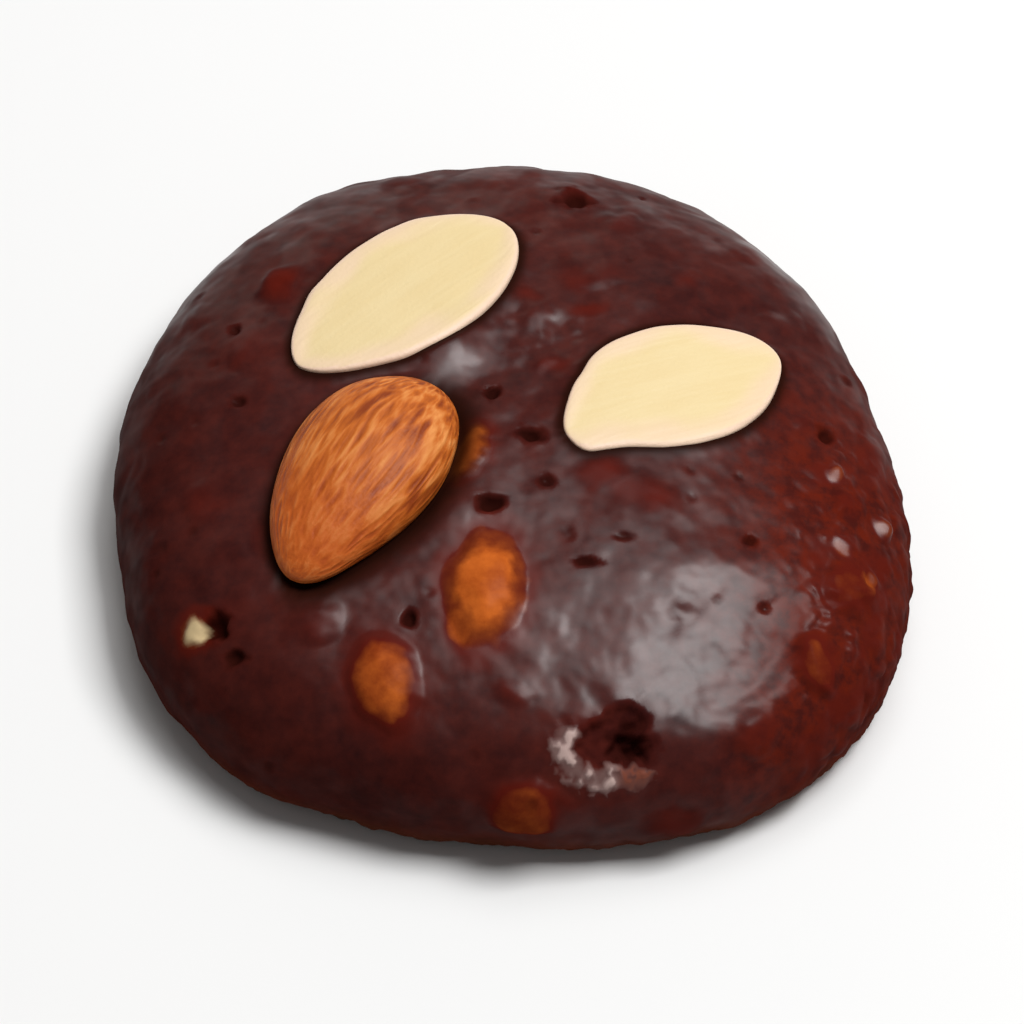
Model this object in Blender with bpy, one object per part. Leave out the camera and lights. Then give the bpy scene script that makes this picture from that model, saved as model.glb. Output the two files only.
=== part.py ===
"""A round lebkuchen: a domed cookie under a thin dark glaze, with three almonds pressed into its top.

Run it with: blender --background --python part.py

The frame: +Z is up and the base lies on z = 0. The origin is under the middle of the outline.
The front of the cookie, where its largest hole is, faces -Y.
"""

import math
import random

import bmesh
import bpy
import numpy as np
from mathutils import Matrix, Vector, noise

MM = 0.001

# The cookie: the profile of a domed bun that was baked on a flat tray.
RADIUS = 35 * MM  # at the waist, its widest line
HEIGHT = 17 * MM
WAIST = 5 * MM  # height of the widest line
FOOT_RADIUS = 32.3 * MM  # where the side meets the tray
CROWN_POWER = 2.3  # 2 is an ellipse; more is a flatter top with rounder shoulders
OUTLINE_WAVES = {  # lobes round the outline: cosine and sine, in mm
    1: (0.02, -0.70),
    2: (-0.17, -0.95),
    3: (-0.21, -0.92),
    4: (-0.84, -0.10),
}
SKIN_RINGS = 32  # rings of near-even triangles, from the crown to the foot
SWELL_SIZE = 11 * MM  # broad swells of the dough
SWELL_RISE = 0.45 * MM
CRAG_SIZE = 3.2 * MM  # finer unevenness, which grows towards the foot
CRAG_RISE = 0.22 * MM

# Chopped nuts that swell the skin: place from above, length, width, heading in degrees, rise.
NUTS_SEEN = (
    (-2.0, -16.7, 11.4, 7.2, 84, 1.30),
    (-10.1, -24.7, 9.4, 6.6, 100, 1.05),
    (-3.4, -3.6, 6.2, 3.6, 62, 0.60),
    (-16.3, -19.2, 6.0, 4.6, 20, 0.50),
    (-19.8, 16.6, 5.6, 4.4, 70, 0.40),
    (7.9, -5.7, 5.4, 3.8, 10, 0.10),
    (12.1, -7.9, 5.6, 4.0, -20, 0.10),
    (1.3, -33.6, 8.0, 6.0, 0, 1.10),
    (29.0, -14.0, 6.6, 5.0, 60, 0.80),
    (25.8, -21.8, 6.4, 5.0, 110, 0.80),
)
NUTS_SCATTERED = 40
SCATTER_SEED = 4
NUT_LENGTHS = (3.8, 7.6)  # mm
NUT_SLIMNESS = (0.62, 0.88)  # width as a share of length
NUT_SHARE_RISE = 0.06  # rise as a share of length
NUT_SOFTNESS = 1.2  # 0.5 is a hard-edged lump; more melts into the glaze
SCATTER_REACH = (0.16, 0.93)  # share of the way from the crown to the foot
NUT_SPACING = 1.15  # times the sum of two half lengths
NUT_FREE = (12.5, -17.5, 9.0)  # smooth ground beside the pool: place from above, radius

# The pool, in mm, where the glaze has run together on the shoulder and set flat.
POOL_PLACE = (16.6, -21.6)  # from above
POOL_NORMAL = Vector((0.235, -0.300, 0.925))
POOL_REACH = 6.4
POOL_STRETCH = (1.2, 1.5)  # how many times further it reaches to the left and right of its slope
POOL_SINK = 0.35  # below the bare skin in its middle
POOL_FILL = 3.0  # the most that it may lie over or under the bare skin
POOL_SOFTNESS = (0.55, 0.22)  # width of its edge, as a share of its reach, up the slope and down it

# Holes: place from above, radius, mm. The first four run together as the torn opening at the front.
HOLES = (
    (8.9, -29.4, 2.3),
    (10.3, -30.1, 1.8),
    (7.4, -29.9, 1.8),
    (9.9, -28.3, 1.7),
    (-1.6, -8.9, 1.1),
    (-1.5, 2.8, 0.8),
    (1.9, -1.8, 1.0),
    (3.1, -6.5, 0.8),
    (6.3, -14.5, 0.8),
    (20.4, -11.3, 0.8),
    (-8.4, -19.3, 0.8),
    (-24.6, -17.9, 1.3),
    (-23.2, -21.1, 0.8),
    (5.8, 26.3, 1.1),
    (27.2, 1.1, 0.8),
)
HOLE_DROP = 0.3  # of the radius, from the skin down to the middle of the hole

# Almonds, in mm. Places are on the skin, from above; headings point from the tip to the broad end.
BLANCHED_HALF = dict(
    above=1.0,  # from the widest line up to the cut face
    below=2.9,  # from the widest line down to the rounded back
    seat=-0.3,  # height of the widest line above the skin
    bend=0.3,  # how far both ends dip to follow the dome
    edge=5.0,  # 2 is a rounded half; more is a flatter face with a sharper edge
    sides=(16, 10),  # cells over the upper and the lower half
    ridges=(0, 0.0),
)
ALMONDS = {
    "almond_blanched_left": dict(
        place=(-9.2, 14.1),
        heading=40.6,
        length=23.8,
        width=13.9,
        belly=0.54,  # where it is widest, from its tip, as a share of its length
        fullness=(0.48, 0.52),  # at the tip and at the broad end; less is blunter
        lean=(0.0, 0.0),  # how far the tip and the broad end swing to the left of the heading
        bulges=((0.25, 1, 0.20, 1.4), (0.76, 1, 0.20, 1.8), (0.29, -1, 0.15, 1.5)),
        **BLANCHED_HALF,
    ),
    "almond_blanched_right": dict(
        place=(13.85, 3.8),
        heading=200.7,
        length=21.0,
        width=12.8,
        belly=0.48,
        fullness=(0.60, 0.51),
        lean=(-0.7, 1.9),
        bulges=((0.83, -1, -0.35, 1.0), (0.99, 1, 0.35, 1.4)),
        **BLANCHED_HALF,
    ),
    "almond_skinned": dict(
        place=(-13.0, -6.0),
        heading=57.6,
        length=22.0,
        width=13.4,
        belly=0.59,
        fullness=(0.39, 0.47),
        lean=(-0.5, -0.7),
        bulges=(),
        above=4.1,
        below=4.1,
        seat=0.4,
        bend=0.4,
        edge=2.0,
        sides=(40, 12),
        ridges=(13, 0.16),  # how many, over the upper half of the brown skin, and how deep
    ),
}
LEAN_REACH = 3.0
KERNEL_RINGS = 26
POCKET_RINGS = 18
POCKET_SIDES = (12, 8)
POCKET_GAP = 0.3  # between a kernel and the dough round it

COLOURS = {  # linear red, green, blue; roughness
    "glaze": ((0.060, 0.014, 0.009), 0.38),
    "brown_skin": ((0.480, 0.135, 0.024), 0.50),
    "almond_flesh": ((0.830, 0.660, 0.370), 0.55),
}


def clear_scene():
    for old in list(bpy.data.objects):
        bpy.data.objects.remove(old)


def material(name):
    colour, roughness = COLOURS[name]
    made = bpy.data.materials.new(name)
    made.use_nodes = True
    shader = made.node_tree.nodes["Principled BSDF"]
    shader.inputs["Base Color"].default_value = (*colour, 1.0)
    shader.inputs["Roughness"].default_value = roughness
    shader.inputs["Metallic"].default_value = 0.0
    made.diffuse_color = (*colour, 1.0)
    return made


def new_object(name, points, faces):
    mesh = bpy.data.meshes.new(name)
    mesh.from_pydata([tuple(point) for point in points], [], faces)
    mesh.update()
    made = bpy.data.objects.new(name, mesh)
    bpy.context.scene.collection.objects.link(made)
    return made


# --- The skin of the cookie ---------------------------------------------------------------------


def outline(bearing):
    """How far the outline reaches at this bearing, as a share of the round one."""
    share = np.ones_like(np.asarray(bearing, float))
    for lobes, (cosine, sine) in OUTLINE_WAVES.items():
        wave = cosine * np.cos(lobes * bearing) + sine * np.sin(lobes * bearing)
        share = share + wave * MM / RADIUS
    return share


def half_profile():
    """Radius and height from the crown, over the shoulder and the waist, to the foot."""
    turn = np.linspace(0, math.pi / 2, 80)
    upper_radius = RADIUS * np.sin(turn) ** (2 / CROWN_POWER)
    upper_height = WAIST + (HEIGHT - WAIST) * np.cos(turn) ** (2 / CROWN_POWER)
    tuck = turn[1:]
    lower_radius = FOOT_RADIUS + (RADIUS - FOOT_RADIUS) * np.cos(tuck)
    lower_height = WAIST * (1 - np.sin(tuck))
    return np.append(upper_radius, lower_radius), np.append(upper_height, lower_height)


PROFILE_RADIUS, PROFILE_HEIGHT = half_profile()
PROFILE_STEPS = np.hypot(np.diff(PROFILE_RADIUS), np.diff(PROFILE_HEIGHT))
PROFILE_REACH = np.append(0, np.cumsum(PROFILE_STEPS)) / PROFILE_STEPS.sum()


def profile_step(behind, ahead, values):
    return np.interp(ahead, PROFILE_REACH, values) - np.interp(behind, PROFILE_REACH, values)


def smooth_skin(reach, bearing):
    """Points and outward normals of the bare skin. Reach is 0 at the crown and 1 at the foot."""
    radius = np.interp(reach, PROFILE_REACH, PROFILE_RADIUS)
    height = np.interp(reach, PROFILE_REACH, PROFILE_HEIGHT)
    ahead, behind = np.minimum(reach + 0.01, 1), np.maximum(reach - 0.01, 0)
    outwards = profile_step(behind, ahead, PROFILE_RADIUS)
    upwards = profile_step(behind, ahead, PROFILE_HEIGHT)
    length = np.hypot(outwards, upwards)
    across = radius * outline(bearing)
    points = np.stack([across * np.cos(bearing), across * np.sin(bearing), height], axis=-1)
    side, rise = -upwards / length, outwards / length
    normals = np.stack([side * np.cos(bearing), side * np.sin(bearing), rise], axis=-1)
    return points, normals


def seat(x, y):
    """Point and normal of the smooth skin over a place given from above, in mm."""
    bearing = np.array(math.atan2(y, x))
    radius = math.hypot(x, y) * MM / float(outline(bearing))
    upper = PROFILE_HEIGHT >= WAIST
    reach = np.array(np.interp(radius, PROFILE_RADIUS[upper], PROFILE_REACH[upper]))
    point, normal = smooth_skin(reach, bearing)
    return Vector(point), Vector(normal)


def tangents(normal, heading):
    """Two directions along the skin: one at the heading from above, in degrees, and one across it."""
    turn = math.radians(heading)
    along = Vector((math.cos(turn), math.sin(turn), 0))
    along = (along - along.dot(normal) * normal).normalized()
    return along, normal.cross(along)


def almond_circles():
    """Circles, from above, that scattered nuts keep clear of: x, y, radius."""
    return [(*form["place"], 0.42 * form["length"]) for form in ALMONDS.values()]


def scattered_nuts():
    """More chopped nuts, spread evenly by the golden angle and jogged by a seeded draw."""
    draw = random.Random(SCATTER_SEED)
    golden_angle = math.pi * (3 - math.sqrt(5))
    kept = [NUT_FREE, *((x, y, NUT_SPACING * length / 2) for x, y, length, _, _, _ in NUTS_SEEN)]
    tries = NUTS_SCATTERED * 3
    nuts = []
    for index in range(tries):
        spread = math.sqrt((index + 0.5) / tries)
        reach = SCATTER_REACH[0] + (SCATTER_REACH[1] - SCATTER_REACH[0]) * spread
        bearing = index * golden_angle + draw.uniform(-0.25, 0.25)
        length = draw.uniform(*NUT_LENGTHS)
        width = length * draw.uniform(*NUT_SLIMNESS)
        heading = draw.uniform(0, 180)
        point, normal = (Vector(found) for found in smooth_skin(np.array(reach), np.array(bearing)))
        x, y = point.x / MM, point.y / MM
        room = NUT_SPACING * length / 2
        clear = all(math.hypot(x - a, y - b) > far + room for a, b, far in [*kept, *almond_circles()])
        if clear and len(nuts) < NUTS_SCATTERED:
            kept.append((x, y, room))
            nuts.append((point, normal, length, width, heading, NUT_SHARE_RISE * length))
    return nuts


def swell(points, normals):
    """Pushes the skin out over each chopped nut, and up and down with the dough's own unevenness."""
    lift = np.zeros(len(points))
    nuts = [(*seat(x, y), *size) for x, y, *size in NUTS_SEEN] + scattered_nuts()
    for centre, normal, length, width, heading, rise in nuts:
        along, across = tangents(normal, heading)
        off = (points - np.array(centre)) / MM
        distance = (off @ np.array(along) / (length / 2)) ** 2
        distance += (off @ np.array(across) / (width / 2)) ** 2
        distance += (off @ np.array(normal) / (width / 2)) ** 2
        lift = np.maximum(lift, rise * MM * np.clip(1 - distance, 0, 1) ** NUT_SOFTNESS)
    for index, point in enumerate(points):
        lowness = 1 - point[2] / HEIGHT
        lift[index] += SWELL_RISE * noise.noise(Vector(point) / SWELL_SIZE)
        lift[index] += CRAG_RISE * (0.25 + lowness) * noise.noise(Vector(point) / CRAG_SIZE)
    return points + normals * flatten_pool(points, normals, lift)[:, None]


def flatten_pool(points, normals, lift):
    """Brings the skin to a plane within the pool, with a softer edge up the slope than down it."""
    centre, _ = seat(*POOL_PLACE)
    plane = POOL_NORMAL.normalized()
    down, left = tangents(plane, math.degrees(math.atan2(plane.y, plane.x)))
    off = (points - np.array(centre)) / MM
    height = off @ np.array(plane)
    to_plane = (-POOL_SINK - height) / (normals @ np.array(plane))
    forward, aside = off @ np.array(down), off @ np.array(left)
    distance = np.hypot(forward, aside / np.where(aside > 0, *POOL_STRETCH)) / POOL_REACH
    softness = np.where(forward > 0, POOL_SOFTNESS[1], POOL_SOFTNESS[0])
    share = np.clip((1 + softness - distance) / (2 * softness), 0, 1)
    inside = share * share * (3 - 2 * share) * (np.abs(to_plane) < POOL_FILL)
    return lift * (1 - inside) + to_plane * MM * inside


def even_disc(rings):
    """Reach and bearing of points on rings that each hold six more than the one inside."""
    reach, bearing = [0.0], [0.0]
    for ring in range(1, rings + 1):
        for step in range(6 * ring):
            reach.append(ring / rings)
            bearing.append(2 * math.pi * step / (6 * ring))
    return np.array(reach), np.array(bearing)


def disc_faces(rings):
    """Near-even triangles between the rings, a sixth of each ring at a time."""
    faces = []
    for ring in range(1, rings + 1):
        around, within = 6 * ring, max(6 * (ring - 1), 1)
        outer = 1 + 3 * ring * (ring - 1)
        inner = outer - within
        for sixth in range(6):
            for step in range(ring):
                start = sixth * ring + step
                a, b = outer + start, outer + (start + 1) % around
                c = inner + (start - sixth) % within
                faces.append((a, b, c))
                if step < ring - 1:
                    faces.append((c, b, inner + (start - sixth + 1) % within))
    return faces


def cookie_body():
    reach, bearing = even_disc(SKIN_RINGS)
    points, normals = smooth_skin(reach, bearing)
    points = swell(points, normals)
    foot = range(len(points) - 6 * SKIN_RINGS, len(points))
    points[foot, 2] = 0
    return new_object("cookie", points, [*disc_faces(SKIN_RINGS), tuple(reversed(foot))])


# --- Holes --------------------------------------------------------------------------------------


def rough_ball(name, centre, radius, fineness, roughness):
    """A small uneven ball, the shape of a hole."""
    mesh = bpy.data.meshes.new(name)
    work = bmesh.new()
    bmesh.ops.create_icosphere(work, subdivisions=fineness, radius=radius)
    for vertex in work.verts:
        vertex.co *= 1 + roughness * noise.noise(vertex.co.normalized() * 1.3 + centre / MM)
    work.to_mesh(mesh)
    work.free()
    ball = bpy.data.objects.new(name, mesh)
    ball.matrix_world = Matrix.Translation(centre)
    return ball


def hole_cutters():
    made = []
    for index, (x, y, radius) in enumerate(HOLES):
        point, normal = seat(x, y)
        fineness = 1 if radius < 1 else 2
        centre = point - normal * HOLE_DROP * radius * MM
        made.append(rough_ball(f"hole_{index}", centre, radius * MM, fineness, 0.5))
    return made


# --- Almonds ------------------------------------------------------------------------------------


def plain_half_width(form, share):
    """Half width, as a share of the greatest one, at a share of the length from the tip."""
    skewed = share ** (math.log(0.5) / math.log(form["belly"]))
    tip, broad = form["fullness"]
    return math.sin(math.pi * skewed) ** (tip + (broad - tip) * share)


def lean(form, share):
    """How far the middle line swings to the left of the heading, in mm, at a share of the length."""
    tip, broad = form["lean"]
    near_tip = math.exp(-((share * form["length"] / LEAN_REACH) ** 2))
    near_broad = math.exp(-(((1 - share) * form["length"] / LEAN_REACH) ** 2))
    return tip * near_tip + broad * near_broad


def bulge(form, share, side):
    """How far one side stands out, in mm. A bulge is a share of the length, a side, its amount and reach."""
    total = 0.0
    for middle, bulge_side, amount, reach in form["bulges"]:
        if side == bulge_side:
            total += amount * math.exp(-(((share - middle) * form["length"] / reach) ** 2))
    return total * min(1, 2.5 * plain_half_width(form, share))


def bowed(value, power):
    """The cosine or sine of a circle, drawn out towards a square as the power grows past 2."""
    return math.copysign(abs(value) ** (2 / power), value)


def section(form, share, angles, grow):
    """Points round a kernel at a share of its length, with its widest line on z = 0, in mm."""
    half = plain_half_width(form, share)
    power = form["edge"]
    ridges, ridge_depth = form["ridges"]
    points = []
    for angle in angles:
        upper = angle <= math.pi
        side = 1 if math.cos(angle) >= 0 else -1
        wide = form["width"] / 2 * half + bulge(form, share, side) + grow
        tall = (form["above"] * half ** (2 / power) if upper else form["below"] * half) + grow
        ridge = 0.0 if grow or not upper else ridge_depth * half * math.cos(2 * ridges * angle)
        y = wide * bowed(math.cos(angle), power if upper else 2) + ridge * math.cos(angle)
        z = tall * bowed(math.sin(angle), power if upper else 2) + ridge * math.sin(angle)
        points.append((y + lean(form, share), z - form["bend"] * (2 * share - 1) ** 2))
    return points


def kernel(name, form, grow=0.0):
    """A kernel along X with its tip at -X, grown all over by grow, in mm."""
    upper, lower = POCKET_SIDES if grow else form["sides"]
    rings = POCKET_RINGS if grow else KERNEL_RINGS
    angles = [math.pi * step / upper for step in range(upper + 1)]
    angles += [math.pi + math.pi * step / lower for step in range(1, lower)]
    shares = [(1 - math.cos(math.pi * ring / rings)) / 2 for ring in range(1, rings)]
    length = form["length"] + 2 * grow
    points = [(-length / 2, lean(form, 0), -form["bend"])]
    for share in shares:
        points += [(length * (share - 0.5), y, z) for y, z in section(form, share, angles, grow)]
    points.append((length / 2, lean(form, 1), -form["bend"]))
    around = len(angles)
    faces = [(0, 1 + (i + 1) % around, 1 + i) for i in range(around)]
    for ring in range(len(shares) - 1):
        start = 1 + ring * around
        for i in range(around):
            j = (i + 1) % around
            faces.append((start + i, start + j, start + around + j, start + around + i))
    last, end = 1 + (len(shares) - 1) * around, len(points) - 1
    faces += [(end, last + i, last + (i + 1) % around) for i in range(around)]
    return new_object(name, np.array(points) * MM, faces)


def almonds(grow=0.0, suffix=""):
    """The three almonds, each laid on the skin at its place and turned to its heading."""
    made = []
    for name, form in ALMONDS.items():
        almond = kernel(name + suffix, form, grow)
        point, normal = seat(*form["place"])
        along, across = tangents(normal, form["heading"])
        turned = Matrix((along, across, normal)).transposed().to_4x4()
        almond.matrix_world = Matrix.Translation(point + normal * form["seat"] * MM) @ turned
        made.append(almond)
    return made


# --- Joining and cutting ------------------------------------------------------------------------


def combine(target, helpers, operation):
    """Applies one Boolean with all the helpers, then removes them."""
    group = bpy.data.collections.new("helpers")
    bpy.context.scene.collection.children.link(group)
    for helper in helpers:
        for holder in list(helper.users_collection):
            holder.objects.unlink(helper)
        group.objects.link(helper)
    modifier = target.modifiers.new(operation.lower(), "BOOLEAN")
    modifier.operation = operation
    modifier.operand_type = "COLLECTION"
    modifier.collection = group
    modifier.solver = "EXACT"
    bpy.context.view_layer.objects.active = target
    bpy.ops.object.modifier_apply(modifier=modifier.name)
    for helper in helpers:
        bpy.data.objects.remove(helper)
    bpy.data.collections.remove(group)


def finish(made, finish_material, crease_degrees):
    made.data.materials.clear()
    made.data.materials.append(finish_material)
    made.data.shade_smooth()
    made.data.set_sharp_from_angle(angle=math.radians(crease_degrees))


def main():
    clear_scene()
    cookie = cookie_body()
    combine(cookie, [*hole_cutters(), *almonds(POCKET_GAP, "_pocket")], "DIFFERENCE")
    finish(cookie, material("glaze"), 40)
    left, right, skinned = almonds()
    flesh = material("almond_flesh")
    finish(left, flesh, 50)
    finish(right, flesh, 50)
    finish(skinned, material("brown_skin"), 50)


main()
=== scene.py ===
# %% [markdown]
# # A glazed almond lebkuchen
#
# A lebkuchen of this kind is a dense nut dough, baked as a mound on a flat tray and coated with a thin
# dark glaze. While the glaze is wet, almonds are pressed into the top. This file dresses the plain CAD
# solids of one such cookie: first the shapes, then the finishes, then the light and the camera.
#
# The frame is loaded first. It gives the CAD solids at their true size, with the origin on the base.

# %% Load the frame
import math
import random

import bpy
import numpy as np
from mathutils import Matrix, Vector, noise


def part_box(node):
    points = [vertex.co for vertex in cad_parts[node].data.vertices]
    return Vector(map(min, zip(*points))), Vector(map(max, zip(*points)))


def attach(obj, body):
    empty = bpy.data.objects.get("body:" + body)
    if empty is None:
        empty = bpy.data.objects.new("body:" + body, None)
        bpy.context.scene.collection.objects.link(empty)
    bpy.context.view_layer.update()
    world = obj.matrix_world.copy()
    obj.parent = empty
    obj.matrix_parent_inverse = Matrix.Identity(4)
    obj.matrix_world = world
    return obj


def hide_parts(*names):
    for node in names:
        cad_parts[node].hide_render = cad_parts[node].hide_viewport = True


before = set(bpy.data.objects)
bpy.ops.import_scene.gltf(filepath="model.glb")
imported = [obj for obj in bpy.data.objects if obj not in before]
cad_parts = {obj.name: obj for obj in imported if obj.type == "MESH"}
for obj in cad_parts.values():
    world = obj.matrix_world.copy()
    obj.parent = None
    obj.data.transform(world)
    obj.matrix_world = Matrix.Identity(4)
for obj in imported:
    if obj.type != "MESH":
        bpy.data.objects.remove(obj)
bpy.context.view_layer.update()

MM = 0.001
for name in sorted(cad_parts):
    low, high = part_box(name)
    print(name, "measures", [round((b - a) / MM, 1) for a, b in zip(low, high)], "mm")

# %% [markdown]
# ## The bare skin of the cookie
#
# The top of a baked mound is a squashed dome: nearly flat on the crown, rounded at the shoulder, and
# tucked in below the waist where it met the tray. It could be sculpted by hand. Here a profile curve is
# swept round a slightly wavy outline, because the same few numbers made the CAD solid, so the two agree
# everywhere.

# %% Profile and outline
RADIUS = 35 * MM
HEIGHT = 17 * MM
WAIST = 5 * MM
FOOT_RADIUS = 32.3 * MM
CROWN_POWER = 2.3
OUTLINE_WAVES = {1: (0.02, -0.70), 2: (-0.17, -0.95), 3: (-0.21, -0.92), 4: (-0.84, -0.10)}


def outline(bearing):
    share = np.ones_like(np.asarray(bearing, float))
    for lobes, (cosine, sine) in OUTLINE_WAVES.items():
        wave = cosine * np.cos(lobes * bearing) + sine * np.sin(lobes * bearing)
        share = share + wave * MM / RADIUS
    return share


turn = np.linspace(0, math.pi / 2, 240)
upper_radius = RADIUS * np.sin(turn) ** (2 / CROWN_POWER)
upper_height = WAIST + (HEIGHT - WAIST) * np.cos(turn) ** (2 / CROWN_POWER)
profile_radius = np.append(upper_radius, FOOT_RADIUS + (RADIUS - FOOT_RADIUS) * np.cos(turn[1:]))
profile_height = np.append(upper_height, WAIST * (1 - np.sin(turn[1:])))
steps = np.hypot(np.diff(profile_radius), np.diff(profile_height))
profile_reach = np.append(0, np.cumsum(steps)) / steps.sum()
print("crown to foot along the skin:", round(steps.sum() / MM, 1), "mm")


# %% Places on the bare skin
def along_profile(reach, values):
    return np.interp(reach, profile_reach, values)


def bare_skin(reach, bearing):
    """Points and outward normals. Reach is 0 at the crown and 1 at the foot."""
    ahead, behind = np.minimum(reach + 0.01, 1), np.maximum(reach - 0.01, 0)
    outwards = along_profile(ahead, profile_radius) - along_profile(behind, profile_radius)
    upwards = along_profile(ahead, profile_height) - along_profile(behind, profile_height)
    length = np.hypot(outwards, upwards)
    across = along_profile(reach, profile_radius) * outline(bearing)
    ring = np.cos(bearing), np.sin(bearing)
    points = np.stack([across * ring[0], across * ring[1], along_profile(reach, profile_height)], -1)
    side = -upwards / length
    return points, np.stack([side * ring[0], side * ring[1], outwards / length], -1)


def seat(x, y):
    """Point and normal of the bare skin over a place seen from above, in mm."""
    bearing = np.array(math.atan2(y, x))
    radius = math.hypot(x, y) * MM / float(outline(bearing))
    upper = profile_height >= WAIST
    reach = np.array(np.interp(radius, profile_radius[upper], profile_reach[upper]))
    point, normal = bare_skin(reach, bearing)
    return Vector(point), Vector(normal)


def tangents(normal, heading):
    """Directions along the skin: one at the heading from above, in degrees, and one across it."""
    turn = math.radians(heading)
    along = Vector((math.cos(turn), math.sin(turn), 0))
    along = (along - along.dot(normal) * normal).normalized()
    return along, normal.cross(along)


print("the crown is at", [round(v / MM, 1) for v in seat(0, 0)[0]], "mm")

# %% [markdown]
# ## An even mesh for fine relief
#
# Pits of half a millimetre need a mesh point every quarter of a millimetre. A grid of rings and spokes
# would crowd its points at the crown. Here each ring holds six points more than the one inside it, which
# keeps all triangles nearly even.

# %% Points in rings
SKIN_RINGS = 176


def ring_points(rings):
    ring = np.repeat(np.arange(1, rings + 1), 6 * np.arange(1, rings + 1))
    first = 3 * ring * (ring - 1)
    bearing = 2 * math.pi * (np.arange(len(ring)) - first) / (6 * ring)
    return np.append(0, ring / rings), np.append(0, bearing)


def ring_faces(rings):
    faces = []
    for ring in range(1, rings + 1):
        around, within = 6 * ring, max(6 * (ring - 1), 1)
        outer = 1 + 3 * ring * (ring - 1)
        inner = outer - within
        for start in range(around):
            sixth, step = divmod(start, ring)
            a, b = outer + start, outer + (start + 1) % around
            c = inner + (start - sixth) % within
            faces.append((a, b, c))
            if step < ring - 1:
                faces.append((c, b, inner + (start - sixth + 1) % within))
    return faces


reach, bearing = ring_points(SKIN_RINGS)
skin, skin_normals = bare_skin(reach, bearing)
lift = np.zeros(len(skin))  # how far each point moves out along its normal, in mm
print(len(skin), "points on the skin, about", round(steps.sum() / MM / SKIN_RINGS, 2), "mm apart")

# %% [markdown]
# ## Where the almonds lie
#
# Two blanched halves lie cut face up and one almond in its brown skin lies between them. Their outlines
# come before the dough's relief, because the glaze rises to meet them. A kernel's outline is a sine that
# is skewed towards its broad end, with a blunter or sharper tip. No real kernel is quite straight, so its
# ends may lean to one side, and small bulges and dents break the plain curve.

# %% Kernel outlines
def half_width(kernel, share):
    """Half the width at a share of the length from the tip, where 1 is half the full width."""
    skewed = share ** (math.log(0.5) / math.log(kernel["belly"]))
    at_tip, at_broad = kernel["fullness"]
    return np.sin(math.pi * np.clip(skewed, 0, 1)) ** (at_tip + (at_broad - at_tip) * share)


# Lengths are in mm. Lean is how far the tip and the broad end swing to the left of the heading. A bulge is
# a share of the length, the side (1 left of the heading, -1 right), its amount and its reach. Above and
# below are the two thicknesses, seat is the height over the skin, bend is how far the ends droop, and a
# high edge makes the upper side square.
CUT_HALF = dict(above=1.0, below=2.9, seat=-0.3, bend=0.3, edge=5.0)
KERNELS = {
    "almond_blanched_left": dict(
        place=(-9.2, 14.1), heading=40.6, length=23.8, width=13.9, belly=0.54, fullness=(0.48, 0.52),
        lean=(0.0, 0.0), bulges=((0.25, 1, 0.20, 1.4), (0.76, 1, 0.20, 1.8), (0.29, -1, 0.15, 1.5)),
        **CUT_HALF),
    "almond_blanched_right": dict(
        place=(13.85, 3.8), heading=200.7, length=21.0, width=12.8, belly=0.48, fullness=(0.60, 0.51),
        lean=(-0.7, 1.9), bulges=((0.83, -1, -0.35, 1.0), (0.99, 1, 0.35, 1.4)), **CUT_HALF),
    "almond_skinned": dict(
        place=(-13.0, -6.0), heading=57.6, length=22.0, width=13.4, belly=0.59, fullness=(0.39, 0.47),
        lean=(-0.5, -0.7), bulges=(), above=4.1, below=4.1, seat=0.4, bend=0.4, edge=2.0),
}
LEAN_REACH = 3.0


def lean(kernel, share):
    """How far the middle line swings to the left of the heading, in mm."""
    tip, broad = kernel["lean"]
    from_tip = share * kernel["length"] / LEAN_REACH
    from_broad = (1 - share) * kernel["length"] / LEAN_REACH
    return tip * np.exp(-(from_tip**2)) + broad * np.exp(-(from_broad**2))


def bulge(kernel, share, side):
    """How far the outline stands out beyond the plain form on that side, in mm."""
    total = np.zeros_like(share)
    for middle, bulge_side, amount, reach in kernel["bulges"]:
        total += amount * np.exp(-(((share - middle) * kernel["length"] / reach) ** 2)) * (side == bulge_side)
    return total * np.clip(2.5 * half_width(kernel, share), 0, 1)


print("kernels:", ", ".join(KERNELS))

# %% How far the skin is from each kernel
KERNEL_MARGIN = 4.0
KERNEL_DEPTH = 8.0
FAR = 99.0


def kernel_matrix(kernel):
    point, normal = seat(*kernel["place"])
    along, across = tangents(normal, kernel["heading"])
    turned = Matrix((along, across, normal)).transposed().to_4x4()
    return Matrix.Translation(point + normal * kernel["seat"] * MM) @ turned


def outline_distance(kernel, points):
    """Distance in mm from points to a kernel's outline, seen along its own normal; inside is negative."""
    inverse = np.array(kernel_matrix(kernel).inverted())
    local = (points @ inverse[:3, :3].T + inverse[:3, 3]) / MM
    limits = [kernel["length"] / 2 + KERNEL_MARGIN, kernel["width"] / 2 + KERNEL_MARGIN, KERNEL_DEPTH]
    near = (np.abs(local) < limits).all(axis=1)
    here = local[near][:, :2]
    share = np.linspace(0, 1, 240)
    plain = kernel["width"] / 2 * half_width(kernel, share)
    x = kernel["length"] * (share - 0.5)
    middle = lean(kernel, share)
    off_middle = here[:, 1] - np.interp(here[:, 0], x, middle)
    gap, within = np.full(len(here), FAR), np.zeros(len(here), bool)
    for side in (1, -1):
        half = plain + bulge(kernel, share, side)
        edge = np.stack([x, middle + side * half], -1)
        gap = np.minimum(gap, np.linalg.norm(here[:, None, :] - edge[None, :, :], axis=2).min(1))
        within |= (off_middle * side >= 0) & (np.abs(off_middle) < np.interp(here[:, 0], x, half, 0, 0))
    distance = np.full(len(points), FAR)
    distance[near] = np.where(within, -gap, gap)
    return distance, local


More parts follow.
